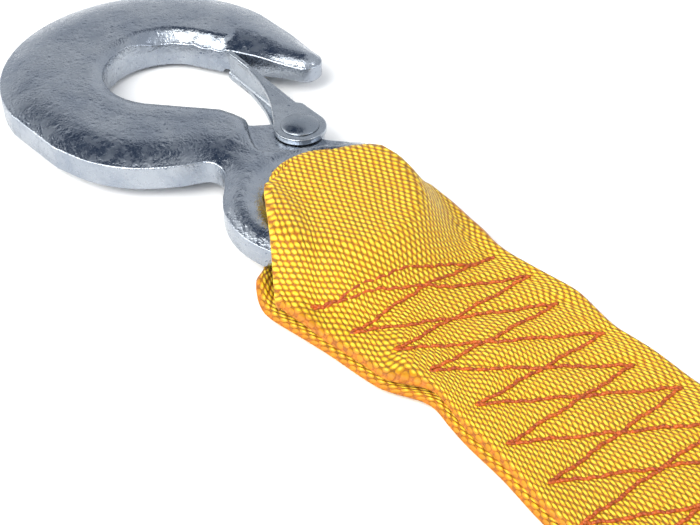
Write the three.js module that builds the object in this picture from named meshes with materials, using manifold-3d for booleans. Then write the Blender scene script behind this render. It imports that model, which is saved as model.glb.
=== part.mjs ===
// Tow strap: a yellow webbing strap with a forged slip hook and spring latch at each end.
// Millimetres, +Z up. The strap runs along X and lies on the plane z = 0. Its spare length
// is one roll in the middle, and the origin is below the roll's centre.
import * as THREE from 'three';
import { mergeVertices } from 'three/addons/utils/BufferGeometryUtils.js';
import Module from 'manifold-3d';

const wasm = await Module();
wasm.setup();

// Webbing
const WEB_WIDTH = 50;
const WEB_THICKNESS = 2.4;
const STRAP_LENGTH = 4000;
const CLEARANCE = 0.3;

// Roll of spare webbing, and the distance from its centre to each hook's eye
const ROLL_BORE_RADIUS = 14;
const ROLL_SIDES = 36;
const TURN_GROOVE = 0.8;
const ROLL_UNEVEN = 0.8;
const EYE_TO_ROLL = 250;

// Sewn end of the strap, measured from the eye's centre
const TAIL_END = 150;
const SEWN_FROM = 48;
const SEAT_CLEARANCE = 0.6;
const FOLD_ANGLE = THREE.MathUtils.degToRad(75);
const FOLD_DEPTH = 4.5;
const FLARE_START = 4;
const FLARE_LENGTH = 22;

// Second end's way down from the side of the roll to the floor
const DESCENT_ANGLE = THREE.MathUtils.degToRad(75);
const DESCENT_BEND = 25;
const ROOT_ANGLE = THREE.MathUtils.degToRad(9);

// Sewing thread
const THREAD_WIDTH = 0.9;
const THREAD_THICKNESS = 0.6;
const STITCH_PITCH = 11.2;
const STITCH_SPAN = 38;
const STITCH_START = 24.4;
const STITCH_LEAN = 12.4;
const STITCH_POINTS = 9;

// Hook forging
const EYE_HOLE_RADIUS = 14;
const EYE_OUTER_RADIUS = 23.5;
const EYE_THICKNESS = 8.6;
const EYE_CHAMFER = 2;
const EYE_SIDES = 36;
const HOOK_THICKNESS = 10;
const HOOK_WALL = 6;
const HOOK_BEVEL = 2.6;
const BOWL_CENTRE = new THREE.Vector2(-73, 0.5);
const BOWL_RADIUS = 39.5;
const OPENING_CENTRE = new THREE.Vector2(-68.5, 2.2);
const OPENING_RADIUS = 16.4;
const SADDLE_FLAT = 5;
const TIP_CENTRE = new THREE.Vector2(-50.7, 34.9);
const TIP_RADIUS = 4.4;
const TIP_SLOPE = THREE.MathUtils.degToRad(27.5);
const TIP_FACE_LENGTH = 23;
const NECK_WIDTH = 23;
const LUG_THICKNESS = 4.6;
const LUG_RADIUS = 6;

// Latch of folded sheet steel, and its rivet
const PIVOT = new THREE.Vector2(-24.8, 12.7);
const LATCH_SHEET = 1.6;
const LATCH_EAR_RADIUS = 6.6;
const LATCH_TIP_WIDTH = 2.6;
const LATCH_WEB_START = 9;
const LATCH_HEADING = THREE.MathUtils.degToRad(175);
const RIVET_RADIUS = 2.5;
const RIVET_HEAD_RADIUS = 5;
const RIVET_HEAD_HEIGHT = 2;

// Colours
const WEBBING_YELLOW = 0xdca81c;
const THREAD_ORANGE = 0xc2541a;
const ZINC_GREY = 0xb4bcc4;

// Worked-out sizes
const eyeHalf = EYE_THICKNESS / 2;
const hookHalf = HOOK_THICKNESS / 2;
const lowerLayer = WEB_THICKNESS / 2;
const upperLayer = lowerLayer + WEB_THICKNESS + CLEARANCE;
const eyeHeight = WEB_THICKNESS + SEAT_CLEARANCE + eyeHalf;
const bowlReach = BOWL_RADIUS - HOOK_BEVEL - BOWL_CENTRE.x;
const hookTilt = Math.asin(eyeHeight / Math.hypot(bowlReach, hookHalf)) - Math.atan(hookHalf / bowlReach);
const eyeTop = eyeHeight + eyeHalf + Math.sin(hookTilt) * EYE_OUTER_RADIUS;
const crestLayer = eyeTop + CLEARANCE + WEB_THICKNESS / 2;
const layerPitch = WEB_THICKNESS + CLEARANCE;
const rolledLength = STRAP_LENGTH - 2 * EYE_TO_ROLL;
const rollRadius = Math.sqrt(ROLL_BORE_RADIUS ** 2 + rolledLength * layerPitch / Math.PI);
const earInside = LUG_THICKNESS / 2 + CLEARANCE;
const earOutside = earInside + LATCH_SHEET;

// Helpers for outlines and solids
function smoothstep(t) {
  return THREE.MathUtils.smoothstep(t, 0, 1);
}

function arcPoints(centre, radius, fromDegrees, toDegrees, steps) {
  const points = [];
  for (let i = 0; i <= steps; i += 1) {
    const angle = THREE.MathUtils.degToRad(fromDegrees + (toDegrees - fromDegrees) * i / steps);
    points.push(new THREE.Vector2(centre.x + radius * Math.cos(angle), centre.y + radius * Math.sin(angle)));
  }
  return points;
}

function smoothPoints(corners, stepsPerCorner) {
  const curve = new THREE.SplineCurve(corners.map(([x, y]) => new THREE.Vector2(x, y)));
  return curve.getPoints((corners.length - 1) * stepsPerCorner);
}

function toSolid(geometry) {
  const plain = geometry.clone();
  plain.deleteAttribute('normal');
  plain.deleteAttribute('uv');
  const merged = mergeVertices(plain, 1e-4);
  const mesh = new wasm.Mesh({
    numProp: 3,
    vertProperties: new Float32Array(merged.attributes.position.array),
    triVerts: new Uint32Array(merged.index.array),
  });
  return new wasm.Manifold(mesh);
}

function toGeometry(solid) {
  const mesh = solid.getMesh();
  const geometry = new THREE.BufferGeometry();
  geometry.setAttribute('position', new THREE.BufferAttribute(mesh.vertProperties, 3));
  geometry.setIndex(new THREE.BufferAttribute(mesh.triVerts, 1));
  geometry.computeVertexNormals();
  return geometry;
}

function flatPlate(points, thickness) {
  const geometry = new THREE.ExtrudeGeometry(new THREE.Shape(points), {
    depth: thickness,
    bevelEnabled: false,
  });
  return geometry.translate(0, 0, -thickness / 2);
}

// A bar whose cross-section follows stations: place(station, across, up) gives each corner
function barAlong(stationCount, acrossSteps, place) {
  const geometry = new THREE.BoxGeometry(1, 1, 1, stationCount - 1, acrossSteps, 1);
  const position = geometry.attributes.position;
  for (let i = 0; i < position.count; i += 1) {
    const station = Math.round((position.getX(i) + 0.5) * (stationCount - 1));
    const corner = place(station, position.getY(i) * 2, position.getZ(i) * 2);
    position.setXYZ(i, corner.x, corner.y, corner.z);
  }
  return geometry;
}

// Webbing round the eye, from the sewn tail's cut end, through the eye and on to the roll.
// The eye's centre is at x = 0, and the strap leaves towards +X.
function upperHeight(x) {
  const slope = smoothstep((x - EYE_OUTER_RADIUS) / (SEWN_FROM - EYE_OUTER_RADIUS));
  return THREE.MathUtils.lerp(crestLayer, upperLayer, slope);
}

function upperSlopeScale(x) {
  const reach = 1;
  const rise = (upperHeight(x + reach) - upperHeight(x - reach)) / (2 * reach);
  return Math.hypot(1, rise);
}

function foldPoint(turn, across) {
  const foldRadius = EYE_HOLE_RADIUS - CLEARANCE - WEB_THICKNESS / 2;
  const swing = across * FOLD_ANGLE;
  const halfDepth = (crestLayer - lowerLayer) / 2;
  const x = -foldRadius * Math.cos(swing) + FOLD_DEPTH * (1 - Math.cos(turn));
  const z = lowerLayer + halfDepth * (1 + Math.sin(turn));
  return spread(x, z, across, Math.abs(turn) * halfDepth);
}

function spread(x, z, across, alongFromFold) {
  const foldRadius = EYE_HOLE_RADIUS - CLEARANCE - WEB_THICKNESS / 2;
  const gathered = foldRadius * Math.sin(across * FOLD_ANGLE);
  const open = across * WEB_WIDTH / 2;
  const y = THREE.MathUtils.lerp(gathered, open, smoothstep((alongFromFold - FLARE_START) / FLARE_LENGTH));
  return new THREE.Vector3(x, y, z);
}

function eyeRoute(across) {
  const foldSteps = 6;
  const route = [];
  const upperX = [TAIL_END, SEWN_FROM, 44, 40, 36, 32, 28, EYE_OUTER_RADIUS, 17, 10, 3];
  const halfTurn = Math.PI / 2 * (crestLayer - lowerLayer) / 2;
  const start = foldPoint(Math.PI / 2, across);
  for (const x of upperX) {
    const shifted = Math.max(x, start.x + 1);
    const beyond = halfTurn + shifted - start.x;
    route.push(spread(shifted, upperHeight(shifted), across, beyond));
  }
  for (let i = 0; i <= foldSteps; i += 1) {
    route.push(foldPoint(Math.PI / 2 - Math.PI * i / foldSteps, across));
  }
  for (const x of [8, 15, 22, 30]) {
    route.push(spread(x, lowerLayer, across, halfTurn + x - start.x));
  }
  return route;
}

function tailRoute(roll) {
  return roll.map(([x, z]) => (across) => new THREE.Vector3(x, across * WEB_WIDTH / 2, z));
}

function webbingEnd(tail) {
  const along = (across) => [...eyeRoute(across), ...tailRoute(tail).map((point) => point(across))];
  const stationCount = along(0).length;
  const step = 0.05;
  return barAlong(stationCount, 8, (station, across, up) => {
    const here = along(across);
    const before = here[Math.max(station - 1, 0)];
    const after = here[Math.min(station + 1, stationCount - 1)];
    const lower = Math.max(across - step, -1);
    const higher = Math.min(across + step, 1);
    const alongway = after.clone().sub(before);
    const sideway = along(higher)[station].clone().sub(along(lower)[station]);
    const normal = alongway.cross(sideway).normalize();
    return here[station].clone().addScaledVector(normal, up * WEB_THICKNESS / 2);
  });
}

function descentRoute() {
  const centre = new THREE.Vector2(EYE_TO_ROLL, rollRadius);
  const onRoll = (angle, depth) => new THREE.Vector2(
    centre.x - (rollRadius - depth) * Math.sin(angle),
    centre.y + (rollRadius - depth) * Math.cos(angle),
  );
  const leave = onRoll(DESCENT_ANGLE, WEB_THICKNESS / 2 + CLEARANCE);
  const root = onRoll(DESCENT_ANGLE - ROOT_ANGLE, WEB_THICKNESS);
  const bendSteps = 5;
  const bendHeight = lowerLayer + DESCENT_BEND * (1 - Math.cos(DESCENT_ANGLE));
  const run = (leave.y - bendHeight) / Math.tan(DESCENT_ANGLE);
  const bendEnd = leave.x - run - DESCENT_BEND * Math.sin(DESCENT_ANGLE);
  const route = [];
  for (let i = 0; i <= bendSteps; i += 1) {
    const angle = DESCENT_ANGLE * i / bendSteps;
    const x = bendEnd + DESCENT_BEND * Math.sin(angle);
    const z = lowerLayer + DESCENT_BEND * (1 - Math.cos(angle));
    route.push([x, z]);
  }
  route.push([leave.x, leave.y], [root.x, root.y]);
  return route;
}

// Roll: a ring on its rim, with a shallow groove in its ends between its turns
function rollGeometry() {
  const turns = Math.round((rollRadius - ROLL_BORE_RADIUS) / (2 * layerPitch));
  const ridge = (rollRadius - ROLL_BORE_RADIUS) / turns;
  const half = (WEB_WIDTH + ROLL_UNEVEN) / 2;
  const rimEnd = [];
  for (let i = 0; i < turns; i += 1) {
    rimEnd.push([ROLL_BORE_RADIUS + i * ridge, half - (i > 0 ? TURN_GROOVE : 0)]);
    rimEnd.push([ROLL_BORE_RADIUS + (i + 0.5) * ridge, half]);
  }
  rimEnd.push([rollRadius, half]);
  const profile = [
    ...rimEnd.map(([r, y]) => new THREE.Vector2(r, -y)),
    ...rimEnd.reverse().map(([r, y]) => new THREE.Vector2(r, y)),
  ];
  profile.push(profile[0].clone());
  const facetTurn = Math.PI / ROLL_SIDES;
  const sideRadius = 1 / Math.cos(facetTurn);
  const outline = profile.map((point) => new THREE.Vector2(point.x * sideRadius, point.y));
  const geometry = new THREE.LatheGeometry(outline, ROLL_SIDES);
  return geometry.rotateY(facetTurn).translate(0, 0, rollRadius);
}

function strapGeometry() {
  const underRoll = [[EYE_TO_ROLL - ROLL_BORE_RADIUS, lowerLayer], [EYE_TO_ROLL, lowerLayer + WEB_THICKNESS]];
  const endA = webbingEnd(underRoll).translate(-EYE_TO_ROLL, 0, 0);
  const endB = webbingEnd(descentRoute()).rotateZ(Math.PI).translate(EYE_TO_ROLL, 0, 0);
  return toGeometry(toSolid(rollGeometry()).add(toSolid(endA)).add(toSolid(endB)));
}

// Sewing: two zigzags that cross each other, lying on the upper layer
function zigzag(lean) {
  const stations = [];
  for (let i = 0; i < STITCH_POINTS - 1; i += 1) {
    const side = (i + lean) % 2 === 0 ? -1 : 1;
    const from = stitchCorner(i, side);
    const to = stitchCorner(i + 1, -side);
    const steps = from.x < SEWN_FROM + STITCH_LEAN ? 5 : 1;
    for (let k = 0; k < steps; k += 1) {
      stations.push(from.clone().lerp(to, k / steps));
    }
    if (i === STITCH_POINTS - 2) {
      stations.push(to);
    }
  }
  return stations;
}

function stitchCorner(index, side) {
  const lean = side > 0 ? STITCH_LEAN : 0;
  return new THREE.Vector2(STITCH_START + index * STITCH_PITCH + lean, side * STITCH_SPAN / 2);
}

function threadGeometry(stations) {
  return barAlong(stations.length, 1, (station, across, up) => {
    const before = stations[Math.max(station - 1, 0)];
    const after = stations[Math.min(station + 1, stations.length - 1)];
    const here = stations[station];
    const backward = here.clone().sub(before).normalize();
    const forward = after.clone().sub(here).normalize();
    const way = backward.add(forward).normalize();
    const side = new THREE.Vector2(-way.y, way.x).multiplyScalar(across * THREAD_WIDTH / 2);
    const x = here.x + side.x;
    const above = WEB_THICKNESS / 2 + CLEARANCE + (1 + up) * THREAD_THICKNESS / 2;
    return new THREE.Vector3(x, here.y + side.y, upperHeight(x) + above * upperSlopeScale(x));
  });
}

function stitchingGeometry() {
  return toGeometry(toSolid(threadGeometry(zigzag(0))).add(toSolid(threadGeometry(zigzag(1)))));
}

// Hook: outline points run clockwise seen from above, from the neck round the bowl to the
// tip and back along the throat, with the eye's centre at the origin
function tipFace() {
  const way = new THREE.Vector2(Math.cos(TIP_SLOPE), Math.sin(TIP_SLOPE));
  const outward = new THREE.Vector2(way.y, -way.x);
  const end = TIP_CENTRE.clone().addScaledVector(outward, TIP_RADIUS);
  return { way, outward, end, start: end.clone().addScaledVector(way, -TIP_FACE_LENGTH) };
}

function latchWebLine() {
  const face = tipFace();
  const start = new THREE.Vector2(PIVOT.x - LATCH_WEB_START, PIVOT.y + LATCH_EAR_RADIUS);
  const way = new THREE.Vector2(Math.cos(LATCH_HEADING), Math.sin(LATCH_HEADING));
  const room = start.clone().sub(face.start).dot(face.outward) - CLEARANCE;
  return { start, way, end: start.clone().addScaledVector(way, -room / way.dot(face.outward)) };
}

function hookOutline() {
  const saddle = THREE.MathUtils.radToDeg(Math.asin(SADDLE_FLAT / 2 / OPENING_RADIUS));
  const slope = THREE.MathUtils.radToDeg(TIP_SLOPE);
  const neckHalf = NECK_WIDTH / 2;
  const insideEye = -EYE_HOLE_RADIUS / 2;
  return [
    new THREE.Vector2(insideEye, -neckHalf),
    ...smoothPoints([[-24.5, -neckHalf], [-28.5, -13.2], [-32, -20.3], [-38.8, -29], [-47.5, -34.8], [-58, -38]], 2),
    ...arcPoints(BOWL_CENTRE, BOWL_RADIUS, -97, -265, 18),
    ...arcPoints(TIP_CENTRE, TIP_RADIUS, 85, slope - 90, 7),
    tipFace().start,
    ...arcPoints(OPENING_CENTRE, OPENING_RADIUS, 125, 180 - saddle, 4),
    ...arcPoints(OPENING_CENTRE, OPENING_RADIUS, 180 + saddle, 309, 8),
    new THREE.Vector2(-43.5, 2.2),
    ...smoothPoints([[-37, 4.6], [-31.5, 2.6], [-26, 3.4]], 2),
    new THREE.Vector2(insideEye, neckHalf),
  ];
}

function hookBody() {
  const geometry = new THREE.ExtrudeGeometry(new THREE.Shape(hookOutline()), {
    depth: HOOK_WALL,
    bevelEnabled: true,
    bevelThickness: (HOOK_THICKNESS - HOOK_WALL) / 2,
    bevelSize: HOOK_BEVEL,
    bevelOffset: -HOOK_BEVEL,
    bevelSegments: 2,
  });
  return geometry.translate(0, 0, -HOOK_WALL / 2);
}

function eyeRing() {
  const section = [
    [EYE_HOLE_RADIUS, eyeHalf - EYE_CHAMFER],
    [EYE_HOLE_RADIUS, EYE_CHAMFER - eyeHalf],
    [EYE_HOLE_RADIUS + EYE_CHAMFER, -eyeHalf],
    [EYE_OUTER_RADIUS - EYE_CHAMFER, -eyeHalf],
    [EYE_OUTER_RADIUS, EYE_CHAMFER - eyeHalf],
    [EYE_OUTER_RADIUS, eyeHalf - EYE_CHAMFER],
    [EYE_OUTER_RADIUS - EYE_CHAMFER, eyeHalf],
    [EYE_HOLE_RADIUS + EYE_CHAMFER, eyeHalf],
  ];
  const profile = [...section, section[0]].map(([r, z]) => new THREE.Vector2(r, z));
  return new THREE.LatheGeometry(profile, EYE_SIDES).rotateX(Math.PI / 2);
}

function latchLug() {
  const root = new THREE.Vector2(-EYE_OUTER_RADIUS + EYE_CHAMFER, 0);
  const outline = [
    ...arcPoints(PIVOT, LUG_RADIUS, 190, 20, 10),
    new THREE.Vector2(-12, 15.5),
    root,
    new THREE.Vector2(-36, 0),
    new THREE.Vector2(-35.5, 4.6),
  ];
  return flatPlate(outline, LUG_THICKNESS);
}

function upright(radius, height, sides) {
  return new THREE.CylinderGeometry(radius, radius, height, sides).rotateX(Math.PI / 2);
}

function rivetBore() {
  return upright(RIVET_RADIUS + CLEARANCE, 2 * HOOK_THICKNESS, 16).translate(PIVOT.x, PIVOT.y, 0);
}

// Room for one of the latch's ears, on the lug's upper (+1) or lower (-1) face
function earRecess(side) {
  const middle = side * (LUG_THICKNESS + HOOK_THICKNESS) / 2;
  return upright(LATCH_EAR_RADIUS + CLEARANCE, HOOK_THICKNESS, 24).translate(PIVOT.x, PIVOT.y, middle);
}

function hookGeometry() {
  const eyeHole = toSolid(upright(EYE_HOLE_RADIUS + EYE_CHAMFER, 2 * HOOK_THICKNESS, EYE_SIDES));
  let solid = toSolid(hookBody()).subtract(eyeHole).add(toSolid(eyeRing()));
  for (const side of [-1, 1]) {
    solid = solid.subtract(toSolid(earRecess(side)));
  }
  return toGeometry(solid.add(toSolid(latchLug())).subtract(toSolid(rivetBore())));
}

// Latch: a web on the outer side, with a flange above and below that widens to an ear
function latchFlange(line) {
  const tipSide = new THREE.Vector2(line.way.y, -line.way.x).multiplyScalar(-LATCH_TIP_WIDTH);
  const tipCorner = line.end.clone().add(tipSide);
  return [
    line.end,
    line.start,
    ...arcPoints(PIVOT, LATCH_EAR_RADIUS, 90, -140, 12),
    new THREE.Vector2(-37.3, 13.2),
    new THREE.Vector2(-47.6, 17.3),
    tipCorner,
  ];
}

function latchGeometry() {
  const line = latchWebLine();
  const inward = new THREE.Vector2(-line.way.y, line.way.x).multiplyScalar(LATCH_SHEET);
  const webCorners = [line.start, line.end, line.end.clone().add(inward), line.start.clone().add(inward)];
  const flangeHeight = (earInside + earOutside) / 2;
  const flange = flatPlate(latchFlange(line), LATCH_SHEET);
  const upper = toSolid(flange.clone().translate(0, 0, flangeHeight));
  const lower = toSolid(flange.clone().translate(0, 0, -flangeHeight));
  const web = toSolid(flatPlate(webCorners, 2 * earOutside));
  return toGeometry(web.add(upper).add(lower).subtract(toSolid(rivetBore())));
}

function rivetGeometry() {
  const headSeat = earOutside + CLEARANCE;
  const dome = [0.5, 0.85, 1].map((share) => [
    RIVET_HEAD_RADIUS * Math.cos(share * Math.PI / 2),
    headSeat + RIVET_HEAD_HEIGHT * Math.sin(share * Math.PI / 2),
  ]);
  const half = [[RIVET_RADIUS, headSeat], [RIVET_HEAD_RADIUS, headSeat], ...dome];
  half[half.length - 1][0] = 0;
  const upper = half.map(([r, z]) => new THREE.Vector2(r, z));
  const lower = half.map(([r, z]) => new THREE.Vector2(r, -z)).reverse();
  const geometry = new THREE.LatheGeometry([...lower, ...upper], 16);
  return geometry.rotateX(Math.PI / 2).translate(PIVOT.x, PIVOT.y, 0);
}

// Materials
function zinc(name, roughness) {
  return new THREE.MeshStandardMaterial({ name, color: ZINC_GREY, roughness, metalness: 0.9 });
}

function woven(name, color) {
  return new THREE.MeshStandardMaterial({ name, color, roughness: 0.75, metalness: 0 });
}

function named(name, geometry, material) {
  const mesh = new THREE.Mesh(geometry, material);
  mesh.name = name;
  return mesh;
}

// One hook with its latch and rivet, seated in its loop of webbing
function hookAssembly(end) {
  const hook = new THREE.Group();
  hook.position.z = eyeHeight;
  hook.rotation.y = -hookTilt;
  hook.add(named(`hook_${end}`, hookGeometry(), zinc('zinc_forging', 0.38)));
  hook.add(named(`latch_${end}`, latchGeometry(), zinc('zinc_sheet', 0.3)));
  hook.add(named(`latch_rivet_${end}`, rivetGeometry(), zinc('zinc_rivet', 0.35)));
  const group = new THREE.Group();
  group.add(hook);
  group.add(named(`stitching_${end}`, stitchingGeometry(), woven('thread', THREAD_ORANGE)));
  return group;
}

const towStrap = new THREE.Group();
towStrap.add(named('webbing_strap', strapGeometry(), woven('webbing', WEBBING_YELLOW)));
for (const [end, turn] of [['a', 0], ['b', Math.PI]]) {
  const side = hookAssembly(end);
  side.rotation.z = turn;
  side.position.x = -EYE_TO_ROLL * Math.cos(turn);
  towStrap.add(side);
}

export default towStrap;
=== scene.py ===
import math
import bpy
import numpy as np
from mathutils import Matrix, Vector, noise


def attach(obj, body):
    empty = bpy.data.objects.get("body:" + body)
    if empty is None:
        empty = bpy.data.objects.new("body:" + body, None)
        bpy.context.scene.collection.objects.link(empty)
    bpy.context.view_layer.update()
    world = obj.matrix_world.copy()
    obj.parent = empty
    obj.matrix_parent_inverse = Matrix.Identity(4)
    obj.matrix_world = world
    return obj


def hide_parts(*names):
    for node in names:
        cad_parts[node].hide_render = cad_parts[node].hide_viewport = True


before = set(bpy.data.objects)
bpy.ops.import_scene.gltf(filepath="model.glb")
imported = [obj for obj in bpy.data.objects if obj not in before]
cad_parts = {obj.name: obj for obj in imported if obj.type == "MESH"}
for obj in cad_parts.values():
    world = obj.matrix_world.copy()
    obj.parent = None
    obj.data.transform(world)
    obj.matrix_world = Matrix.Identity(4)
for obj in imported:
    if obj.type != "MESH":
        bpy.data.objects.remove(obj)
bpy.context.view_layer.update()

# Sizes in millimetres, angles in radians
WEB_WIDTH = 50.0
WEB_THICKNESS = 2.3
WEB_EDGE_ROUND = 1.1
EYE_TO_ROLL = 250.0
EYE_HEIGHT = 7.3
EYE_INNER_RADIUS = 14.0
EYE_OUTER_RADIUS = 23.5
HOOK_TILT = 0.0209396
PIVOT = np.array([-24.8, 12.7])
TAIL_END = 150.0
ROLL_RADIUS = 56.604
LAYER_PITCH = 2.7
DESCENT_ANGLE = math.radians(75)
DESCENT_BEND = 25.0

# Heights of the webbing's middle surface: the lower layer, the upper layer and its crest over the eye
LOWER = 1.2
UPPER = 3.9
CREST = 13.7

# The camera's place, in metres and radians, and its lens in millimetres
CAMERA_TARGET = (-0.2312, -0.0077, 0.006)
CAMERA_AZIMUTH = math.radians(50.07)
CAMERA_ELEVATION = math.radians(40.45)
CAMERA_DISTANCE = 0.3146
CAMERA_LENS = 72.0


# Camera
def set_camera():
    level = math.cos(CAMERA_ELEVATION)
    back = Vector((math.sin(CAMERA_AZIMUTH) * level,
                   -math.cos(CAMERA_AZIMUTH) * level,
                   math.sin(CAMERA_ELEVATION)))
    data = bpy.data.cameras.new("camera")
    data.lens = CAMERA_LENS
    data.sensor_width = 36.0
    data.clip_start = 0.01
    data.clip_end = 20.0
    cam = bpy.data.objects.new("camera", data)
    cam.location = Vector(CAMERA_TARGET) + back * CAMERA_DISTANCE
    cam.rotation_mode = "QUATERNION"
    cam.rotation_quaternion = (-back).to_track_quat("-Z", "Y")
    bpy.context.scene.collection.objects.link(cam)
    bpy.context.scene.camera = cam


# Helpers
def smooth(t):
    t = np.clip(t, 0.0, 1.0)
    return t * t * (3 - 2 * t)


def lerp(a, b, t):
    return a + (b - a) * t


def smin(a, b, k):
    h = np.maximum(k - np.abs(a - b), 0.0) / k
    return np.minimum(a, b) - h * h * k / 4


def rounded(t):
    """0 to 1 along a quarter of a parabola that ends level."""
    return 1 - (1 - np.clip(t, 0, 1)) ** 2


def srgb(r, g, b, a=1.0):
    def one(c):
        c /= 255.0
        return c / 12.92 if c <= 0.04045 else ((c + 0.055) / 1.055) ** 2.4
    return (one(r), one(g), one(b), a)


def spline(points, per=8):
    p = np.array(points, float)
    q = np.vstack([2 * p[0] - p[1], p, 2 * p[-1] - p[-2]])
    out = []
    for i in range(1, len(q) - 2):
        t = np.linspace(0, 1, per, endpoint=False)[:, None]
        a, b, c, d = q[i - 1], q[i], q[i + 1], q[i + 2]
        out.append(0.5 * (2 * b + (c - a) * t + (2 * a - 5 * b + 4 * c - d) * t ** 2
                          + (3 * b - a - 3 * c + d) * t ** 3))
    out.append(p[-1:])
    return np.vstack(out)


def arc(centre, radius, start, end, steps):
    t = np.radians(np.linspace(start, end, steps + 1))
    return np.stack([centre[0] + radius * np.cos(t), centre[1] + radius * np.sin(t)], 1)


def distance_to_line(P, line, closed=False):
    A = np.array(line, float)
    B = np.roll(A, -1, 0) if closed else A[1:]
    A = A if closed else A[:-1]
    out = np.empty(len(P))
    for s in range(0, len(P), 4000):
        p = P[s:s + 4000, None, :]
        d = B - A
        t = np.clip(((p - A) * d).sum(2) / np.maximum((d * d).sum(1), 1e-12), 0, 1)
        out[s:s + 4000] = np.sqrt((((A + t[..., None] * d) - p) ** 2).sum(2).min(1))
    return out


def signed_distance(P, poly):
    A = np.array(poly, float)
    B = np.roll(A, -1, 0)
    d = distance_to_line(P, A, True)
    inside = np.zeros(len(P), bool)
    for (x1, y1), (x2, y2) in zip(A, B):
        if y1 == y2:
            continue
        cross = (P[:, 1] < y1) != (P[:, 1] < y2)
        inside ^= cross & (P[:, 0] < x1 + (P[:, 1] - y1) * (x2 - x1) / (y2 - y1))
    return np.where(inside, -d, d)


def make_object(name, verts, faces, material, uv=None, shade=True):
    mesh = bpy.data.meshes.new(name)
    mesh.from_pydata(np.asarray(verts, float).tolist(), [], faces)
    mesh.update()
    if uv is not None:
        layer = mesh.uv_layers.new(name="weave")
        index = np.empty(len(mesh.loops), np.int32)
        mesh.loops.foreach_get("vertex_index", index)
        layer.data.foreach_set("uv", np.asarray(uv, np.float32)[index].ravel())
    mesh.polygons.foreach_set("use_smooth", [shade] * len(mesh.polygons))
    mesh.materials.append(material)
    obj = bpy.data.objects.new(name, mesh)
    bpy.context.scene.collection.objects.link(obj)
    return obj


def hook_place(P, end):
    """Hook coordinates in mm to world metres, for end a or b."""
    c, s = math.cos(HOOK_TILT), math.sin(HOOK_TILT)
    x = P[:, 0] * c - P[:, 2] * s - EYE_TO_ROLL
    z = P[:, 0] * s + P[:, 2] * c + EYE_HEIGHT
    out = np.stack([x, P[:, 1], z], 1)
    if end == "b":
        out[:, :2] *= -1
    return out / 1000


# Plan meshes
def plan_mesh(field, lo, hi, h):
    """Triangles that fill field <= 0, with their edge on the field's zero line."""
    dy = h * math.sqrt(3) / 2
    nx, ny = int((hi[0] - lo[0]) / h) + 2, int((hi[1] - lo[1]) / dy) + 2
    j, i = np.meshgrid(np.arange(ny), np.arange(nx), indexing="ij")
    P = np.stack([lo[0] + (i + 0.5 * (j % 2)) * h, lo[1] + j * dy], 2).reshape(-1, 2)
    f = field(P)

    def gradient(Q):
        e = 0.05
        gx = field(Q + [e, 0]) - field(Q - [e, 0])
        gy = field(Q + [0, e]) - field(Q - [0, e])
        g = np.stack([gx, gy], 1)
        return g / np.maximum(np.linalg.norm(g, axis=1), 1e-9)[:, None]

    near = np.abs(f) < 0.32 * h
    P[near] -= gradient(P[near]) * f[near][:, None]
    f[near] = 0.0
    tris, verts, vals, cut = [], list(map(tuple, P)), list(f), {}

    def crossing(a, b):
        key = (min(a, b), max(a, b))
        if key not in cut:
            t = vals[a] / (vals[a] - vals[b])
            cut[key] = len(verts)
            verts.append(tuple(lerp(np.array(verts[a]), np.array(verts[b]), t)))
            vals.append(0.0)
        return cut[key]

    for jj in range(ny - 1):
        for ii in range(nx - 1):
            a, b = jj * nx + ii, jj * nx + ii + 1
            c, d = a + nx, b + nx
            for tri in (((a, b, c), (b, d, c)) if jj % 2 == 0 else ((a, b, d), (a, d, c))):
                v = [f[k] for k in tri]
                if max(v) <= 0:
                    if min(v) < 0:
                        tris.append(tri)
                elif min(v) < 0:
                    ring = []
                    for k in range(3):
                        p, q = tri[k], tri[(k + 1) % 3]
                        if vals[p] <= 0:
                            ring.append(p)
                        if (vals[p] < 0 < vals[q]) or (vals[q] < 0 < vals[p]):
                            ring.append(crossing(p, q))
                    for k in range(1, len(ring) - 1):
                        if len({ring[0], ring[k], ring[k + 1]}) == 3:
                            tris.append((ring[0], ring[k], ring[k + 1]))
    used = sorted({k for t in tris for k in t})
    renum = {k: n for n, k in enumerate(used)}
    V = np.array([verts[k] for k in used])
    D = -np.array([vals[k] for k in used])
    T = [tuple(renum[k] for k in t) for t in tris]
    count = {}
    for t in T:
        for k in range(3):
            e = (t[k], t[(k + 1) % 3])
            key = (min(e), max(e))
            count[key] = None if key in count else e
    border = [e for e in count.values() if e is not None]
    return V, D, T, border, gradient(V)


def shell(field, lo, hi, h, top, bottom, round_edge, steps=3):
    """A closed shell over the plan shape field <= 0, from bottom(P, d) to top(P, d)."""
    V, D, T, border, grad = plan_mesh(lambda P: field(P) + round_edge, lo, hi, h)
    d = D + round_edge
    zt, zb = top(V, d), bottom(V, d)
    n = len(V)
    verts = [np.column_stack([V, zt]), np.column_stack([V, zb])]
    faces = list(T) + [(c + n, b + n, a + n) for a, b, c in T]
    rim = sorted({k for e in border for k in e})
    pos = {k: i for i, k in enumerate(rim)}
    rim = np.array(rim)
    base, g, m = V[rim], grad[rim], len(rim)
    rings = []
    for side in (0, 1):
        z0 = (zt if side == 0 else zb)[rim]
        way = 1 if side == 0 else -1
        order = range(1, steps + 1) if side == 0 else range(steps, 0, -1)
        for k in order:
            phi = math.pi / 2 * k / steps
            out = base + g * round_edge * math.sin(phi)
            rings.append(np.column_stack([out, z0 - way * round_edge * (1 - math.cos(phi))]))
    start = 2 * n
    verts += rings
    for a, b in border:
        ia, ib = pos[a], pos[b]
        faces.append((b, a, start + ia, start + ib))
        for r in range(len(rings) - 1):
            s = start + r * m
            faces.append((s + ib, s + ia, s + m + ia, s + m + ib))
        s = start + (len(rings) - 1) * m
        faces.append((s + ib, s + ia, a + n, b + n))
    return np.vstack(verts), faces


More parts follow.
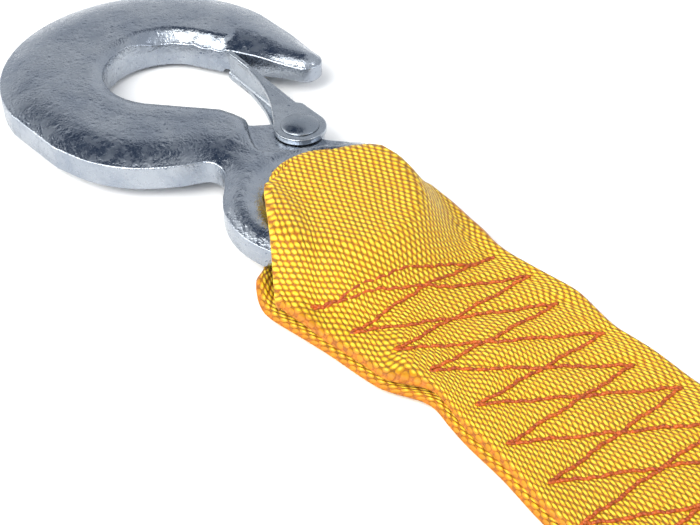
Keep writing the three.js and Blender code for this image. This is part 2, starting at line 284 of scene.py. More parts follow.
# Materials
class Nodes:
    def __init__(self, name):
        self.mat = bpy.data.materials.new(name)
        self.mat.use_nodes = True
        self.tree = self.mat.node_tree
        self.tree.nodes.clear()
        self.out = self.tree.nodes.new("ShaderNodeOutputMaterial")
        self.bsdf = self.tree.nodes.new("ShaderNodeBsdfPrincipled")
        self.link(self.bsdf.outputs["BSDF"], self.out.inputs["Surface"])

    def link(self, a, b):
        self.tree.links.new(a, b)

    def put(self, socket, value):
        if isinstance(value, bpy.types.NodeSocket):
            self.link(value, socket)
        else:
            socket.default_value = value

    def math(self, op, a, b=None, c=None):
        n = self.tree.nodes.new("ShaderNodeMath")
        n.operation = op
        self.put(n.inputs[0], a)
        if b is not None:
            self.put(n.inputs[1], b)
        if c is not None:
            self.put(n.inputs[2], c)
        return n.outputs[0]

    def noise(self, vector, scale, detail=4.0, rough=0.6):
        n = self.tree.nodes.new("ShaderNodeTexNoise")
        self.put(n.inputs["Vector"], vector)
        n.inputs["Scale"].default_value = scale
        n.inputs["Detail"].default_value = detail
        n.inputs["Roughness"].default_value = rough
        return n.outputs["Fac"]

    def voronoi(self, vector, scale):
        n = self.tree.nodes.new("ShaderNodeTexVoronoi")
        self.put(n.inputs["Vector"], vector)
        n.inputs["Scale"].default_value = scale
        return n.outputs["Distance"]

    def span(self, value, lo, hi, to_lo=0.0, to_hi=1.0, kind="SMOOTHSTEP"):
        n = self.tree.nodes.new("ShaderNodeMapRange")
        n.interpolation_type = kind
        self.put(n.inputs["Value"], value)
        n.inputs["From Min"].default_value = lo
        n.inputs["From Max"].default_value = hi
        n.inputs["To Min"].default_value = to_lo
        n.inputs["To Max"].default_value = to_hi
        return n.outputs["Result"]

    def mix(self, fac, a, b):
        n = self.tree.nodes.new("ShaderNodeMix")
        n.data_type = "RGBA"
        self.put(n.inputs[0], fac)
        self.put(n.inputs[6], a)
        self.put(n.inputs[7], b)
        return n.outputs[2]

    def bump(self, height, distance, strength=1.0, normal=None):
        n = self.tree.nodes.new("ShaderNodeBump")
        n.inputs["Strength"].default_value = strength
        n.inputs["Distance"].default_value = distance
        self.put(n.inputs["Height"], height)
        if normal is not None:
            self.put(n.inputs["Normal"], normal)
        return n.outputs["Normal"]

    def coords(self):
        n = self.tree.nodes.new("ShaderNodeTexCoord")
        return n.outputs["Object"]

    def weave(self):
        """The sheet's or thread's own length and width coordinates."""
        n = self.tree.nodes.new("ShaderNodeUVMap")
        n.uv_map = "weave"
        split = self.tree.nodes.new("ShaderNodeSeparateXYZ")
        self.link(n.outputs["UV"], split.inputs[0])
        return split.outputs[0], split.outputs[1]


def zinc_material(name, light, dark, rough, grain, pits):
    """Plated steel: clouds and dark flecks in its colour, and grain, pits and waves in its surface.
    Scales are in cells a metre."""
    m = Nodes(name)
    at = m.coords()
    cloud = m.span(m.noise(at, scale=90.0, detail=5.0, rough=0.65), 0.35, 0.68)
    fleck = m.span(m.noise(at, scale=900.0, detail=3.0, rough=0.6), 0.63, 0.78)
    m.put(m.bsdf.inputs["Base Color"], m.mix(fleck, m.mix(cloud, light, dark), srgb(58, 74, 100)))
    m.bsdf.inputs["Metallic"].default_value = 1.0
    patches = m.noise(at, scale=350.0, detail=4.0, rough=0.7)
    m.put(m.bsdf.inputs["Roughness"], m.span(patches, 0.3, 0.7, rough - 0.06, rough + 0.10))
    fine = m.noise(at, scale=1800.0, detail=2.0, rough=0.5)
    pit = m.span(m.voronoi(at, scale=420.0), 0.0, 0.45)
    wave = m.noise(at, scale=160.0, detail=3.0, rough=0.5)
    normal = m.bump(fine, distance=0.00007 * grain)
    normal = m.bump(pit, distance=0.00004 * pits, normal=normal)
    normal = m.bump(wave, distance=0.00018, strength=0.6, normal=normal)
    m.put(m.bsdf.inputs["Normal"], normal)
    return m.mat


def webbing_material():
    """Woven yellow webbing: rows of raised grains that shift by half a grain from row to row."""
    half_pitch, half_row = 1.41, 0.6
    half_length, half_width = 1.02, 0.47
    m = Nodes("webbing_weave")
    along, across = m.weave()
    at = m.coords()
    drift = m.math("SUBTRACT", m.noise(at, scale=260.0, detail=2.0), 0.5)
    wobble = m.math("MULTIPLY", drift, 0.5)
    u = m.math("ADD", m.math("MULTIPLY", along, 1000.0), wobble)
    v = m.math("ADD", m.math("MULTIPLY", across, 1000.0), m.math("MULTIPLY", wobble, 0.4))

    def grain(shift_u, shift_v):
        du = m.math("WRAP", m.math("ADD", u, shift_u), -half_pitch, half_pitch)
        dv = m.math("WRAP", m.math("ADD", v, shift_v), -half_row, half_row)
        du = m.math("DIVIDE", du, half_length)
        dv = m.math("DIVIDE", dv, half_width)
        q = m.math("ADD", m.math("MULTIPLY", du, du), m.math("MULTIPLY", dv, dv))
        return m.math("SUBTRACT", 1.0, q)

    either = m.math("MAXIMUM", grain(0, 0), grain(half_pitch, half_row))
    selvedge = m.span(m.math("ABSOLUTE", v), 23.6, 24.9)
    flatten = m.math("SUBTRACT", 1.0, m.math("MULTIPLY", selvedge, 0.55))
    h = m.math("MULTIPLY", m.math("POWER", m.math("MAXIMUM", either, 0.0), 0.6), flatten)
    tint = m.noise(at, scale=700.0, detail=3.0)
    broad = m.noise(at, scale=45.0, detail=3.0)
    # Painted shade: the gaps between the grains are coloured dark brown-orange, where shade falls between
    # the yarns
    gap_painted_shade = m.mix(m.span(tint, 0.4, 0.62), srgb(136, 93, 5), srgb(171, 93, 7))
    body = m.mix(m.span(broad, 0.38, 0.64), srgb(204, 150, 5), srgb(194, 141, 7))
    # Painted highlight: the grains' raised tops are coloured bright yellow
    tip = m.mix(m.span(tint, 0.42, 0.6), srgb(244, 220, 64), srgb(234, 198, 36))
    # The selvedges' own orange tint, darkened to red-brown as painted shade for the hollow between the
    # layers' edges
    border = m.mix(m.span(tint, 0.4, 0.6), srgb(168, 74, 4), srgb(206, 120, 10))
    colour = m.mix(m.span(h, 0.12, 0.5), gap_painted_shade, body)
    colour = m.mix(m.span(h, 0.62, 0.97), colour, tip)
    colour = m.mix(m.math("MULTIPLY", selvedge, 0.55), colour, border)
    m.put(m.bsdf.inputs["Base Color"], colour)
    m.bsdf.inputs["Roughness"].default_value = 0.5
    m.bsdf.inputs["Specular IOR Level"].default_value = 0.35
    m.bsdf.inputs["Sheen Weight"].default_value = 0.06
    m.bsdf.inputs["Sheen Roughness"].default_value = 0.4
    normal = m.bump(h, distance=0.00034)
    normal = m.bump(m.noise(at, scale=2600.0, detail=2.0), distance=0.00006, normal=normal)
    m.put(m.bsdf.inputs["Normal"], normal)
    return m.mat


def thread_material():
    """Twisted orange-red thread."""
    turns_a_metre = 7000.0
    m = Nodes("thread_twist")
    tint = m.noise(m.coords(), scale=800.0, detail=3.0)
    m.put(m.bsdf.inputs["Base Color"],
          m.mix(m.span(tint, 0.38, 0.62), srgb(150, 60, 4), srgb(192, 88, 10)))
    m.bsdf.inputs["Roughness"].default_value = 0.5
    along, around = m.weave()
    phase = m.math("ADD", m.math("MULTIPLY", along, turns_a_metre),
                   m.math("MULTIPLY", around, 2 * math.pi))
    m.put(m.bsdf.inputs["Normal"], m.bump(m.math("SINE", phase), distance=0.00008))
    return m.mat


# Hook forging
BOWL_OUTER_CENTRE = (-73, 0.5)
BOWL_OUTER_RADIUS = 39.5
BOWL_INNER_CENTRE = (-68.5, 2.2)
BOWL_INNER_RADIUS = 16.4
TIP_CENTRE = np.array([-50.7, 34.9])
TIP_RADIUS = 4.4
TIP_STRAIGHT = 23
TIP_TURN = 27.5
TIP_SLOPE = math.radians(TIP_TURN)
TIP_WAY = np.array([math.cos(TIP_SLOPE), math.sin(TIP_SLOPE)])
TIP_OUT = np.array([TIP_WAY[1], -TIP_WAY[0]])
TIP_END = TIP_CENTRE + TIP_OUT * TIP_RADIUS
TIP_START = TIP_END - TIP_WAY * TIP_STRAIGHT


def hook_lines():
    outer = np.vstack([
        [[-7, -11.5]],
        spline([(-24.5, -11.5), (-28.5, -13.2), (-32, -20.3), (-38.8, -29), (-47.5, -34.8), (-58, -38)], 6),
        arc(BOWL_OUTER_CENTRE, BOWL_OUTER_RADIUS, -97, -265, 120),
        arc(TIP_CENTRE, TIP_RADIUS, 85, TIP_TURN - 90, 24),
    ])
    inner = np.vstack([
        [TIP_START],
        arc(BOWL_INNER_CENTRE, BOWL_INNER_RADIUS, 125, 309, 80),
        spline([(-43.5, 2.2), (-37, 4.6), (-31.5, 2.6), (-26, 3.4)], 6),
        [[-7, 11.5]],
    ])
    return outer, inner


# Half heights of the forging, and the widths over which each face rounds off
RIM = 3.0
CROWN = 2.2
CROWN_WIDTH = 10.5
THROAT_RIM = 4.1
THROAT_CROWN = 1.1
THROAT_WIDTH = 4.0
BEVEL_FOOT = 2.0
BEVEL_SLOPE = 0.92
BEVEL_TOP = 5.2
NOSE_RIM = 0.7
NOSE_CROWN = 3.7
NOSE_WIDTH = 5.5
RING_RIM = 2.4
RING_CROWN = 1.9
RECESS_HALF = 2.3
HOOK_EDGE_ROUND = 0.45
HOOK_GRID = 0.72

# The floor of the cut under the latch, and the lug that carries its rivet
RECESS = spline([(-38.5, 7.0), (-36.2, 4.4), (-30, 0.8), (-23.5, -1.2), (-19.5, 2.5), (-17.2, 7),
                 (-14.5, 12), (-12, 16), (-14, 26), (-30, 28), (-40, 20), (-38.5, 7.0)], 6)
LUG = np.vstack([arc(PIVOT, 6, 190, 20, 30), [(-12, 15.5), (-18, 4), (-24, -1), (-36, 0), (-35.5, 4.6)]])


def hook_mesh():
    outer, inner = hook_lines()
    outline = np.vstack([outer, inner])

    def field(P):
        r = np.hypot(P[:, 0], P[:, 1])
        f = smin(signed_distance(P, outline), r - EYE_OUTER_RADIUS, 6.0)
        f = smin(f, signed_distance(P, LUG), 2.0)
        return np.maximum(f, EYE_INNER_RADIUS - r)

    def forged(P, scale, level):
        return np.array([noise.noise(Vector((x * scale, y * scale, level))) for x, y in P])

    def height(P, d, side):
        """Half height of the forging. Only the top side has the bevel along the bowl's far arm."""
        r = np.hypot(P[:, 0], P[:, 1])
        d_in = distance_to_line(P, inner)
        bevel = smooth((P[:, 1] - 1) / 8) * smooth((P[:, 0] + 93) / 7) * (side > 0)
        body_out = RIM + CROWN * rounded(d / CROWN_WIDTH)
        soft_in = THROAT_RIM + THROAT_CROWN * rounded(d_in / THROAT_WIDTH)
        slope_in = smin(BEVEL_FOOT + BEVEL_SLOPE * d_in, np.full(len(P), BEVEL_TOP), 1.0)
        body_in = lerp(soft_in, slope_in, bevel)
        on_inner = np.where(d_in <= d + 0.05, 9.0, body_out)
        near_inner = smooth((12 - d_in) / 6) * (d_in < 12)
        body = lerp(body_out, np.minimum(on_inner, body_in), near_inner)
        tip = smooth((14 - np.hypot(P[:, 0] - TIP_CENTRE[0], P[:, 1] - TIP_CENTRE[1])) / 11)
        nose = NOSE_RIM + NOSE_CROWN * np.sqrt(rounded(d / NOSE_WIDTH))
        body = lerp(body, np.minimum(body, nose), tip)
        ring_d = np.minimum(d, r - EYE_INNER_RADIUS)
        ring = RING_RIM + RING_CROWN * rounded(2 * ring_d / (EYE_OUTER_RADIUS - EYE_INNER_RADIUS))
        h = lerp(ring, body, smooth((r - 21) / 11))
        h = h + 0.08 * forged(P, 0.09, 0.3) * smooth(d / 3)
        h = h + 0.45 * forged(P, 0.45, 4.0) * bevel * smooth((3.5 - d_in) / 2)
        wall = signed_distance(P, RECESS)
        return lerp(h, np.minimum(h, RECESS_HALF), smooth((0.45 - wall) / 1.1))

    lo, hi = (-114.0, -40.0), (25.0, 42.0)
    return shell(field, lo, hi, HOOK_GRID, lambda P, d: height(P, d, 1),
                 lambda P, d: -height(P, d, -1), HOOK_EDGE_ROUND)


# Latch and rivet
LATCH_START = np.array([-33.8, 19.3])
LATCH_TURN = math.radians(175)
LATCH_HEADING = np.array([math.cos(LATCH_TURN), math.sin(LATCH_TURN)])
LATCH_END = np.array([-65.21, 22.05])
LATCH_INSIDE = 2.6
LATCH_OUTSIDE = 4.197
FOLD_CENTRE = 2.2
FOLD_OUTER = 2.0
FOLD_INNER = 0.4
RIVET_SIDES = 40


def latch_mesh():
    """Two flanges beside the lug, joined by a folded web along the throat's side."""
    normal = np.array([-LATCH_HEADING[1], LATCH_HEADING[0]])
    inward = normal if normal[1] < 0 else -normal
    length = np.linalg.norm(LATCH_END - LATCH_START)
    flange = np.vstack([
        [LATCH_END + inward * 0.9, LATCH_START + inward * 0.9, LATCH_START + (1.5, 0.2)],
        arc(PIVOT, 6.6, 96, -140, 36),
        spline([(-37.3, 13.2), (-42.5, 15.6), (-47.6, 17.3), (-57, 19.6)], 6),
        [LATCH_END + inward * 2.6 + (1.6, 0.1), LATCH_END + inward * 2.2],
    ])

    def field(P):
        return signed_distance(P, flange)

    parts = []
    for low, high in ((LATCH_INSIDE, LATCH_OUTSIDE), (-LATCH_OUTSIDE, -LATCH_INSIDE)):
        parts.append(shell(field, (-67.0, 4.0), (-16.0, 25.0), 0.42,
                           lambda P, d: np.full(len(P), high),
                           lambda P, d: np.full(len(P), low), 0.22, 2))
    parts.append(latch_web(inward, length))
    return join(parts)


def latch_web(inward, length):
    """The folded web: its section is a flat between two quarter bends."""
    def bend(radius, steps, way):
        t = np.linspace(0, math.pi / 2, steps)
        return [(FOLD_OUTER - radius * math.cos(a), way * (FOLD_CENTRE + radius * math.sin(a))) for a in t]

    section = [(0.0, -FOLD_CENTRE)]
    section += [(0.0, z) for z in (-1.1, 0.0, 1.1)]
    section += bend(FOLD_OUTER, 7, 1)
    section += bend(FOLD_INNER, 4, 1)[::-1]
    section += [(FOLD_OUTER - FOLD_INNER, z) for z in (1.1, 0.0, -1.1)]
    section += bend(FOLD_INNER, 4, -1)
    section += bend(FOLD_OUTER, 7, -1)[:0:-1]
    ends = [0, 0.12, 0.35]
    stations = ends + list(np.linspace(0.8, length - 0.8, 30)) + [length - s for s in ends[::-1]]
    verts, faces, m = [], [], len(section)
    for s in stations:
        base = LATCH_START + LATCH_HEADING * s
        pull = 0.12 * (1 - min(min(s, length - s) / 0.35, 1)) ** 2
        for e, z in section:
            q = base + inward * (pull + e * (1 - pull * 0.1))
            verts.append((q[0], q[1], z * (1 - pull * 0.3)))
    for k in range(len(stations) - 1):
        for i in range(m):
            a, b = k * m + i, k * m + (i + 1) % m
            faces.append((a, a + m, b + m, b))
    faces.append(tuple(range(m)))
    faces.append(tuple(range((len(stations) - 1) * m, len(stations) * m))[::-1])
    return np.array(verts), faces


def join(parts):
    verts, faces, shift = [], [], 0
    for v, f in parts:
        verts.append(np.asarray(v, float))
        faces += [tuple(k + shift for k in t) for t in f]
        shift += len(v)
    return np.vstack(verts), faces


def rivet_mesh():
    """Two domed heads on one shank, turned from half a profile of radius and height."""
    profile = [(0, 5.3), (1.2, 5.27), (2.4, 5.15), (3.4, 4.97), (4.2, 4.74), (4.7, 4.5), (4.85, 4.36),
               (4.8, 4.27), (2.4, 4.24)]
    profile = profile + [(r, -z) for r, z in reversed(profile)]
    n = RIVET_SIDES
    verts, faces = [], []
    for r, z in profile:
        for i in range(n):
            t = 2 * math.pi * i / n
            verts.append((PIVOT[0] + r * math.cos(t), PIVOT[1] + r * math.sin(t), z))
    for k in range(len(profile) - 1):
        for i in range(n):
            a, b = k * n + i, k * n + (i + 1) % n
            faces.append((a, a + n, b + n, b))
    return np.array(verts), faces


# Webbing

# Edges of the gathered webbing on plan, from the eye's centre: the upper layer's two selvedges, the
# lower layer's two, the edge that the upper layer folds over, and the zigzags' points on each side
NEAR_EDGE = np.array([(-20, -28.6), (18.8, -28.8), (24.7, -28.7), (29.3, -27.6), (36.2, -26.6),
                      (43.9, -25.4), (50.8, -24.9), (54.4, -21.9), (57.7, -19.6), (61.2, -19.2),
                      (65.7, -20.4), (72.4, -21.8), (83.7, -22.6), (95, -24.4), (105, -25),
                      (115, -24.4), (130, -25), (400, -25)])
FAR_EDGE = np.array([(-20, 26.9), (13.6, 26.9), (19.3, 26.4), (27.4, 25.5), (33.9, 23.8), (38.4, 23.8),
                     (44.5, 24.6), (57.1, 26.3), (69.6, 23.8), (80.4, 24.7), (91.1, 24.1), (105, 25),
                     (118, 24.2), (130, 25), (400, 25)])
LOW_NEAR = np.array([(-20, -13), (0, -14), (6.2, -24.7), (11.8, -29.1), (14.5, -30), (17.9, -29.9),
                     (27.5, -28.2), (35.2, -27.0), (43.9, -26.2), (50.2, -25.3), (57.7, -20.9),
                     (61.1, -20.2), (65.7, -21.4), (72.4, -22.5), (83.7, -23.2), (95.2, -25.0),
                     (105, -25.3), (115, -24.6), (130, -25), (400, -25)])
LOW_FAR = np.array([(-20, 13), (0, 13), (6, 23), (12, 26.5), (20, 26.6), (34, 24.4), (45, 25),
                    (57, 26.6), (70, 24.2), (80, 25), (92, 24.4), (105, 25.2), (118, 24.5),
                    (130, 25), (400, 25)])
FOLD_EDGE = np.array([(18.8, -28.8), (17.2, -27.5), (15, -26), (11.4, -23.6), (7, -20.7),
                      (0, -16.2), (-6.5, -12.2), (-9.3, -6.1), (-11.0, -0.5), (-10.8, 4.2),
                      (-8.6, 8.5), (-6.3, 13.2), (-4.2, 17), (-1.1, 19.9), (3.6, 21.8), (6.9, 26),
                      (8, 26.9)]) * (1, 0.985) + (1.2, 0)
STITCH_L = [(24.7, -24), (35.8, -21.3), (45.7, -17.5), (55, -16), (68.3, -15.5), (79.7, -18.2), (92, -19.3),
            (102.7, -22.3), (114, -19)]
STITCH_R = [(36.8, 19), (47.2, 20.8), (57.6, 19.1), (70.5, 20.1), (80.9, 17.1), (91.7, 20), (103.5, 19.4),
            (114.5, 20.2), (125.5, 19)]

# Stations along the webbing's parts, and columns across it
UPPER_STATIONS = 168
TURN_STATIONS = 61
TURN_SAMPLES = 400
LOWER_STATIONS = 110
COLUMNS = 35

# The webbing's middle inside the eye, how far its width spreads around it, and how soft its bends are
TURN_RADIUS = 11.7
TURN_SPREAD = math.radians(92)
TURN_SOFTNESS = 1.1
LIP_HEIGHT = 3.4

# The doubled roll: the inward run's whole angle and the radii where each run starts
ROLL_STEP = math.radians(7.5)
ROLL_INWARD = math.radians(2558)
ROLL_LEAVE = math.radians(105)
INWARD_START = 55.4
OUTWARD_START = 55.1
FIRST_STEP = 1.425

# The seams' thread
THREAD_SIDES = 8
THREAD_HALF_WIDTH = 0.44
THREAD_HALF_HEIGHT = 0.34
STITCH_LENGTH = 2.9


def edge_at(table, x, blur=1.6):
    out = 0
    for off, w in ((-1.5, 0.15), (-0.7, 0.22), (0, 0.26), (0.7, 0.22), (1.5, 0.15)):
        out = out + w * np.interp(x + off * blur, table[:, 0], table[:, 1])
    return out


def stitch_legs():
    first = [STITCH_L[i] if i % 2 == 0 else STITCH_R[i] for i in range(9)]
    second = [STITCH_R[i] if i % 2 == 0 else STITCH_L[i] for i in range(9)]
    return [np.array(first, float), np.array(second, float),
            np.array([STITCH_L[0], STITCH_R[0]], float) + (0.9, 0.3)]


def drape(x, y):
    """Height of the upper layer: a crest over the eye that falls to the flat between two ovals."""
    crest = np.hypot(x / 24, y / np.where(y > 0, 18.5, 22.0))
    foot = np.hypot(x / 46, y / np.where(y > 0, 27.5, 29.5))
    t = (crest - 1) / np.maximum(crest - foot, 1e-6)
    t = np.where(crest < 1, 0, np.where(foot > 1, 1, t))
    crown = 0.35 * np.cos(np.clip(y / 24, -1, 1) * math.pi / 2) ** 2
    return lerp(CREST, UPPER, smooth(t)) + crown * (1 - smooth(t))


def tuck(x, y):
    """How far the fold's corners stand up, 0 to 1."""
    fold_x = np.interp(y, FOLD_EDGE[:, 1], FOLD_EDGE[:, 0])
    side = smooth((np.abs(y) - 8) / 6) * np.where(y > 0, 0.2, 0.75)
    return side * (1 - smooth((x - fold_x - 5) / 12))


def upper_height(x, y):
    """Height of the upper layer with its corners, and pillows between the stitches."""
    P = np.stack([np.ravel(x), np.ravel(y)], 1)
    d = np.min([distance_to_line(P, leg) for leg in stitch_legs()], axis=0).reshape(np.shape(x))
    pillow = 0.55 * (1 - np.exp(-(d / 1.8) ** 2))
    return drape(x, y) + 2.3 * tuck(x, y) + (pillow - 0.25) * smooth((x - 22) / 10)


def even_line(pts):
    """A softened line through the points, at evenly spaced stations."""
    s = np.concatenate([[0], np.cumsum(np.linalg.norm(np.diff(pts, axis=0), axis=1))])
    fine = np.linspace(0, s[-1], TURN_SAMPLES)
    line = np.stack([np.interp(fine, s, pts[:, i]) for i in range(3)], 1)
    w = max(int(TURN_SOFTNESS / (s[-1] / TURN_SAMPLES)), 1)
    kernel = np.exp(-0.5 * (np.arange(-3 * w, 3 * w + 1) / w) ** 2)
    kernel /= kernel.sum()
    padded = np.pad(line, ((3 * w, 3 * w), (0, 0)), mode="edge")
    line = np.stack([np.convolve(padded[:, i], kernel, "valid") for i in range(3)], 1)
    return line[np.linspace(0, TURN_SAMPLES - 1, TURN_STATIONS + 3).astype(int)[3:]]


def turn_column(upper, share):
    """One line of the turn: over the fold, back to the eye's hole, down through it and out under
    the upper layer. share is its place across the webbing, -1 to 1."""
    top = upper[-1]
    angle = math.pi + abs(share) * TURN_SPREAD * (1 if share < 0 else -1)
    hole = np.array([TURN_RADIUS * math.cos(angle), TURN_RADIUS * math.sin(angle)])
    run = np.linalg.norm(hole - top[:2])
    outward = (top[:2] - hole) / max(run, 1e-6)
    under = float(smooth((run - 1.0) / 7))
    pts = [upper[-3], top]
    pts.append(np.array([*(top[:2] + outward * 0.5 * under), top[2] - 1.2 * under]))
    for s in np.linspace(0.06, 0.9, 8):
        q = lerp(top[:2], hole, s)
        base = drape(q[0], q[1]) - 0.1
        drop = lerp(top[2] - 2.4 * under, base, smooth(s / 0.25))
        pts.append(np.array([*q, min(drop, base)]))
    pts += [np.array([*hole, z]) for z in (10.5, 8, 5.5, 3.2)]
    for s in np.linspace(0.05, 1, 12):
        x = lerp(hole[0], 26.0, s)
        y = lerp(float(edge_at(LOW_NEAR, x)), float(edge_at(LOW_FAR, x)), (share + 1) / 2)
        y = lerp(hole[1], y, float(smooth((x - hole[0]) / 7)))
        lip = LIP_HEIGHT * float(smooth((-share - 0.76) / 0.22)) * math.exp(-((x - 9.0) / 4.0) ** 2)
        pts.append(np.array([x, y, LOWER + lip]))
    return even_line(np.array(pts))


def level_row(across, x, z, shift=0.0):
    """One straight row across the webbing at full width."""
    return np.stack([np.full(len(across), x), across * WEB_WIDTH / 2 + shift, np.full(len(across), z)], 1)


def end_lines(tail, across):
    """Middle-surface points of one sewn end, [station, across], from the cut tail to the strap,
    in mm from the eye's centre, with the strap leaving towards +X."""
    half = (across[None, :] + 1) / 2
    y = lerp(NEAR_EDGE[0, 1], FAR_EDGE[0, 1], half)
    fold_x = np.interp(y, FOLD_EDGE[:, 1], FOLD_EDGE[:, 0])
    x = lerp(TAIL_END, fold_x, np.linspace(0, 1, UPPER_STATIONS)[:, None])
    y = lerp(edge_at(NEAR_EDGE, x), edge_at(FAR_EDGE, x), half)
    upper = np.stack([x, y, upper_height(x, y)], 2)
    turn = np.stack([turn_column(upper[:, k], share) for k, share in enumerate(across)], 1)
    x = np.linspace(27.5, 236, LOWER_STATIONS)[:, None]
    y = lerp(edge_at(LOW_NEAR, x), edge_at(LOW_FAR, x), half)
    lower = np.stack(np.broadcast_arrays(x, y, LOWER), 2)
    if tail is not None:
        lower = lower[lower[:, 0, 0] < tail[0][0] - 1.5]
        lower = np.vstack([lower, [level_row(across, x, z) for x, z in tail]])
    return np.vstack([upper, turn, lower])


def roll_lines(across):
    """Middle-surface points of the rolled strap, from its lower leaving point, in to the doubled
    end at the bore and out again to the upper leaving point, in world mm."""
    rows = []

    def add(alpha, r, k):
        stagger = 0.28 * math.sin(k * 0.37) + 0.2 * math.sin(k * 0.113 + 1)
        z = ROLL_RADIUS + r * math.sin(alpha)
        rows.append(level_row(across, r * math.cos(alpha), z, stagger))

    def sunk(psi):
        return 2 * LAYER_PITCH * psi / (2 * math.pi)

    n = int(ROLL_INWARD / ROLL_STEP)
    for k in range(1, n + 1):
        psi = ROLL_INWARD * k / n
        first = FIRST_STEP * float(smooth(psi / ROLL_LEAVE))
        add(-math.pi / 2 + psi, INWARD_START - sunk(psi) - first, k)
    end = -math.pi / 2 + ROLL_INWARD
    mid = INWARD_START - FIRST_STEP - sunk(ROLL_INWARD) + LAYER_PITCH / 2
    for k in range(1, 6):
        t = math.pi * k / 6
        add(end + math.sin(t) * LAYER_PITCH / 2 / mid, mid - LAYER_PITCH / 2 * math.cos(t), n)
    outward = ROLL_INWARD - ROLL_LEAVE
    m = int(outward / ROLL_STEP)
    for k in range(m, -1, -1):
        psi = outward * k / m
        add(math.pi / 2 - DESCENT_ANGLE + psi, OUTWARD_START - sunk(psi), k)
    return np.array(rows)


def descent_points():
    """The strap's way from the floor up to the roll at end b: a bend, then a straight."""
    r = ROLL_RADIUS - 1.5
    leave_x = r * math.sin(DESCENT_ANGLE)
    leave_z = ROLL_RADIUS + r * math.cos(DESCENT_ANGLE)
    bend_z = LOWER + DESCENT_BEND * (1 - math.cos(DESCENT_ANGLE))
    bend_x = leave_x + (leave_z - bend_z) / math.tan(DESCENT_ANGLE)
    pts = []
    for angle in DESCENT_ANGLE * np.linspace(0, 1, 14):
        run = DESCENT_BEND * (math.sin(DESCENT_ANGLE) - math.sin(angle))
        pts.append((EYE_TO_ROLL - (bend_x + run), LOWER + DESCENT_BEND * (1 - math.cos(angle))))
    for t in np.linspace(0.15, 0.92, 5):
        pts.append((EYE_TO_ROLL - lerp(bend_x, leave_x, t), lerp(bend_z, leave_z, t)))
    return pts


def webbing_lines(across):
    """Middle-surface points of the whole webbing, from end a's tail to end b's, in world mm."""
    end_a = end_lines(None, across)
    end_a[:, :, 0] -= EYE_TO_ROLL
    end_b = end_lines(descent_points(), across)[::-1, ::-1].copy()
    end_b[:, :, 0] = EYE_TO_ROLL - end_b[:, :, 0]
    end_b[:, :, 1] *= -1
    foot = [level_row(across, -14 + 2.4 * k, LOWER) for k in range(1, 6)]
    return np.vstack([end_a, foot, roll_lines(across), end_b])


def webbing_uv(C, across):
    """Length and width in mm along the webbing at each point, and the length of its middle line."""
    mid = len(across) // 2
    level = 60
    u_mid = np.concatenate([[0], np.cumsum(np.linalg.norm(np.diff(C[:, mid], axis=0), axis=1))])
    u = np.zeros(C.shape[:2])
    u[1:] = np.cumsum(np.linalg.norm(np.diff(C, axis=0), axis=2), axis=0)
    u += (u_mid[level] - u[level])[None, :]
    step = np.linalg.norm(np.diff(C, axis=1)[..., 1:], axis=2)
    v_true = np.concatenate([np.zeros((len(C), 1)), np.cumsum(step, axis=1)], axis=1)
    v_true -= v_true[:, mid:mid + 1]
    last = len(C) - 1
    fold = UPPER_STATIONS - 1
    for k in range(1, TURN_STATIONS + 1):
        v_true[fold + k] = v_true[fold]
        v_true[last - fold - k] = v_true[last - fold]
    v_true = np.where(v_true < 0, -v_true / v_true[:, :1], v_true / v_true[:, -1:]) * WEB_WIDTH / 2
    station = np.arange(len(C))
    sewn = smooth((215 - np.minimum(station, last - station)) / 30)[:, None]
    v = lerp(np.broadcast_to(across * WEB_WIDTH / 2, u.shape), v_true, sewn)
    return u, v, u_mid[-1]


def webbing_mesh():
    even = np.linspace(-1, 1, COLUMNS)
    crowded = np.sin(even / 2 * math.pi * 0.86) / math.sin(0.43 * math.pi)
    across = lerp(even, crowded, 0.35)
    C = webbing_lines(across)
    u, v, length = webbing_uv(C, across)
    normal = np.cross(np.gradient(C, axis=0), np.gradient(C, axis=1))
    normal /= np.maximum(np.linalg.norm(normal, axis=2), 1e-9)[..., None]
    edge = (1 - np.abs(across)) * WEB_WIDTH / 2
    thick = np.maximum(WEB_THICKNESS / 2 * np.sqrt(rounded(edge / WEB_EDGE_ROUND)), 0.02)
    top = C + normal * thick[None, :, None]
    low = C - normal * thick[None, :, None]
    n, m = C.shape[:2]
    ring = np.concatenate([top, low[:, ::-1]], axis=1)
    uv = np.stack([u, v], 2)
    uv_ring = np.concatenate([uv, uv[:, ::-1]], axis=1) / 1000
    w = 2 * m
    idx = np.arange(n * w).reshape(n, w)
    a, b = idx[:-1], np.roll(idx, -1, 1)[:-1]
    c, d = np.roll(idx, -1, 1)[1:], idx[1:]
    faces = np.stack([a, d, c, b], 2).reshape(-1, 4).tolist()
    for row in (idx[0], idx[-1][::-1]):
        for k in range(m - 1):
            faces.append([int(row[k]), int(row[k + 1]), int(row[w - 2 - k]), int(row[w - 1 - k])])
    return ring.reshape(-1, 3) / 1000, faces, uv_ring.reshape(-1, 2), length / 1000


def thread_line(leg, number):
    """One seam's middle line on the upper layer, with the length along it. It dips at each stitch."""
    pts = []
    for a, b in zip(leg[:-1], leg[1:]):
        n = max(int(np.linalg.norm(b - a) / 0.4), 2)
        pts += [lerp(a, b, t) for t in np.linspace(0, 1, n, endpoint=False)]
    pts.append(leg[-1])
    P = np.array(pts)
    s = np.concatenate([[0], np.cumsum(np.linalg.norm(np.diff(P, axis=0), axis=1))])
    stray = 0.22 * np.sin(s * 0.55 + number) + 0.1 * np.sin(s * 1.7)
    way = np.gradient(P, axis=0)
    way /= np.linalg.norm(way, axis=1)[:, None]
    P = P + np.stack([-way[:, 1], way[:, 0]], 1) * stray[:, None]
    lift = 0.5 * np.abs(np.sin(s * math.pi / STITCH_LENGTH)) ** 0.6 - 0.24
    z = upper_height(P[:, 0], P[:, 1]) + WEB_THICKNESS / 2 + lift
    return np.column_stack([P, z]), s


